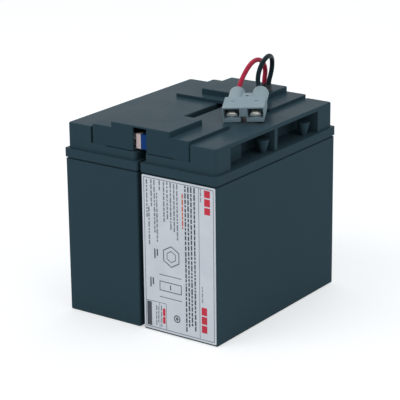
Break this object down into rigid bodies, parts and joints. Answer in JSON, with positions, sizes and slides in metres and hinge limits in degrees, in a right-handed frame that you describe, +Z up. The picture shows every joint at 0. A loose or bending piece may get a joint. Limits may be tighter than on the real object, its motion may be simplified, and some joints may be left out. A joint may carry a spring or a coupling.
{
  "type": "ups battery cartridge",
  "caption": "Sealed lead-acid batteries side by side, joined by a moulded cover at each end, with a fused series link and a grey power connector on short red and black leads.",
  "frame": {"origin": "middle of the pair's footprint, on the floor", "axes": "+Z up, X across the batteries, Y along them with the labelled end at -Y"},
  "size_m": [0.1554, 0.181, 0.2102],
  "materials": {
    "battery_case": "fine moulded satin black",
    "battery_lid": "smooth satin black",
    "cover": "smooth satin black",
    "positive_plate": "dull brown lead dioxide",
    "negative_plate": "dull grey lead",
    "glass_mat": "white fibre mat",
    "cast_lead": "cast lead",
    "terminal_lead": "smooth cast lead",
    "seal_rubber": "matt",
    "zinc_steel": "zinc plated",
    "tinned_copper": "tin plated",
    "fuse_ceramic": "pale glazed",
    "fuse_blue": "blue moulded",
    "red_wire": "soft wire jacket",
    "black_wire": "soft wire jacket",
    "grommet_rubber": "satin",
    "connector_grey": "grey moulded",
    "silver_contact": "silver plated",
    "spring_steel": "bright",
    "label_paper": "printed film",
    "foam": "adhesive foam"
  },
  "bodies": {
    "root": {"left_case": "battery_case", "right_case": "battery_case", "left_lid": "battery_lid", "right_lid": "battery_lid", "left_valve_strip": "battery_lid", "right_valve_strip": "battery_lid", "front_cover": "cover", "rear_cover": "cover", "left_positive_plates": "positive_plate", "right_positive_plates": "positive_plate", "left_negative_plates": "negative_plate", "right_negative_plates": "negative_plate", "left_separators": "glass_mat", "right_separators": "glass_mat", "left_cell_straps": "cast_lead", "right_cell_straps": "cast_lead", "left_positive_terminal": "terminal_lead", "left_negative_terminal": "terminal_lead", "right_positive_terminal": "terminal_lead", "right_negative_terminal": "terminal_lead", "left_terminal_seals": "seal_rubber", "right_terminal_seals": "seal_rubber", "left_vent_valves": "seal_rubber", "right_vent_valves": "seal_rubber", "terminal_bolts": "zinc_steel", "terminal_nuts": "zinc_steel", "fuse_link": "tinned_copper", "red_lead_lug": "tinned_copper", "black_lead_lug": "tinned_copper", "fuse_body": "fuse_ceramic", "fuse_cap": "fuse_blue", "red_lead": "red_wire", "red_inner_lead": "red_wire", "black_lead": "black_wire", "black_inner_lead": "black_wire", "red_lead_grommet": "grommet_rubber", "black_lead_grommet": "grommet_rubber", "connector_housing": "connector_grey", "positive_contact": "silver_contact", "negative_contact": "silver_contact", "contact_springs": "spring_steel", "label": "label_paper", "foam_pads": "foam"}
  },
  "joints": []
}
